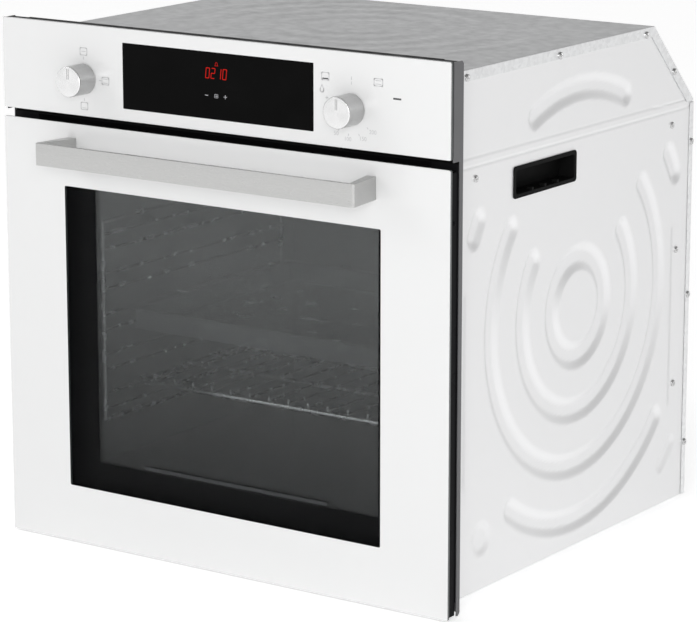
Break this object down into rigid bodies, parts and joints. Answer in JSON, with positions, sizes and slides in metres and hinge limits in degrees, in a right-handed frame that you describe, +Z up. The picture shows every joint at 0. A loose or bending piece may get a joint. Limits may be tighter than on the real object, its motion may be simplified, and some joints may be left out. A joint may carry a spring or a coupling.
{
  "type": "wall oven",
  "caption": "Built-in electric wall oven with a drop-down glass door, bar handle, rotary controls, digital timer and an open cavity with racks.",
  "frame": {"origin": "middle of the footprint on the surface that the base skids stand on", "axes": "+X to the right seen from the front, +Y from the front to the back, +Z up"},
  "size_m": [0.595, 0.6, 0.595],
  "materials": {
    "side_steel": "light satin coated steel with pressed rings",
    "galvanised": "galvanised sheet, faint spangle",
    "black_enamel": "gloss vitreous enamel",
    "grey_enamel": "gloss grey vitreous enamel with fine speckle",
    "tray_enamel": "gloss dark enamel",
    "trim_grey": "satin grey coated steel",
    "black_steel": "satin black coated steel",
    "white_glass": "flat glass painted white behind, with a clear window in the door",
    "clear_glass": "clear tinted glass",
    "smoked_window": "smoked gloss",
    "handle_steel": "brushed along the bar",
    "knob_aluminium": "turned satin face, brushed side",
    "black_plastic": "matt moulded",
    "chrome_wire": "bright plated wire",
    "silicone": "matt silicone",
    "glass_wool": "glass wool blanket",
    "heater_tube": "oxidised steel tube",
    "motor_steel": "laminated steel",
    "fan_steel": "pressed aluminium",
    "ceramic": "glazed ceramic",
    "lamp_glass": "clear glass",
    "circuit_board": "circuit board lacquer",
    "switch_body": "moulded plastic",
    "copper_tube": "drawn copper",
    "wire_sleeve": "fibre and silicone sleeving",
    "screw_steel": "zinc plated"
  },
  "bodies": {
    "oven_body": {"side_panel_left": "side_steel", "side_panel_right": "side_steel", "carry_grip_left": "black_plastic", "carry_grip_right": "black_plastic", "top_cover": "galvanised", "rear_cover": "galvanised", "base_plate": "galvanised", "deck_plate": "galvanised", "front_frame": "black_enamel", "side_trim_left": "trim_grey", "side_trim_right": "trim_grey", "cavity_liner": "grey_enamel", "insulation_wrap": "glass_wool", "insulation_rear": "glass_wool", "fan_baffle": "grey_enamel", "ring_heater": "heater_tube", "fan_motor": "motor_steel", "grill_element": "heater_tube", "bottom_element": "heater_tube", "door_seal": "silicone", "side_rack_left": "chrome_wire", "side_rack_right": "chrome_wire", "lamp_holder": "ceramic", "lamp_bulb": "lamp_glass", "lamp_lens": "lamp_glass", "air_duct": "galvanised", "blower_housing": "galvanised", "blower_motor": "motor_steel", "panel_glass": "white_glass", "panel_carrier": "black_plastic", "display_lens": "smoked_window", "timer_module": "circuit_board", "switch_bracket": "galvanised", "selector_switch": "switch_body", "thermostat": "switch_body", "thermostat_probe": "copper_tube", "terminal_block": "switch_body", "cable_inlet": "black_plastic", "wire_harness": "wire_sleeve", "hinge_case_left": "galvanised", "hinge_case_right": "galvanised", "hinge_springs": "motor_steel", "case_screws": "screw_steel"},
    "door": {"door_outer_glass": "white_glass", "door_middle_glass": "clear_glass", "door_inner_glass": "clear_glass", "door_side_left": "black_steel", "door_side_right": "black_steel", "door_rails": "black_steel", "handle_bar": "handle_steel", "handle_screws": "screw_steel", "hinge_arms": "galvanised"},
    "selector_knob": {"knob_left": "knob_aluminium", "selector_shaft": "screw_steel"},
    "thermostat_knob": {"knob_right": "knob_aluminium", "thermostat_shaft": "screw_steel"},
    "fan_impeller": {"convection_fan": "fan_steel"},
    "cooling_rotor": {"blower_rotor": "switch_body"},
    "shelf": {"wire_shelf": "chrome_wire"},
    "tray": {"baking_tray": "tray_enamel"}
  },
  "joints": [
    {"name": "door_hinge", "type": "hinge", "parent": "oven_body", "child": "door", "pos_m": [0, -0.238, 0.009], "axis": [1, 0, 0], "range_deg": [0, 90], "stiffness_Nm_per_rad": 8, "springref_deg": -11.46},
    {"name": "selector_turn", "type": "hinge", "parent": "oven_body", "child": "selector_knob", "pos_m": [-0.1815, -0.26, 0.5355], "axis": [0, 1, 0], "continuous": true},
    {"name": "thermostat_turn", "type": "hinge", "parent": "oven_body", "child": "thermostat_knob", "pos_m": [0.175, -0.26, 0.5355], "axis": [0, 1, 0], "range_deg": [0, 300]},
    {"name": "fan_spin", "type": "hinge", "parent": "oven_body", "child": "fan_impeller", "pos_m": [0, 0.2, 0.252], "axis": [0, 1, 0], "continuous": true},
    {"name": "blower_spin", "type": "hinge", "parent": "oven_body", "child": "cooling_rotor", "pos_m": [0, 0.085, 0.532], "axis": [1, 0, 0], "continuous": true},
    {"name": "shelf_slide", "type": "slide", "parent": "oven_body", "child": "shelf", "axis": [0, -1, 0], "range_m": [0, 0.09]},
    {"name": "tray_slide", "type": "slide", "parent": "oven_body", "child": "tray", "axis": [0, -1, 0], "range_m": [0, 0.07]}
  ]
}
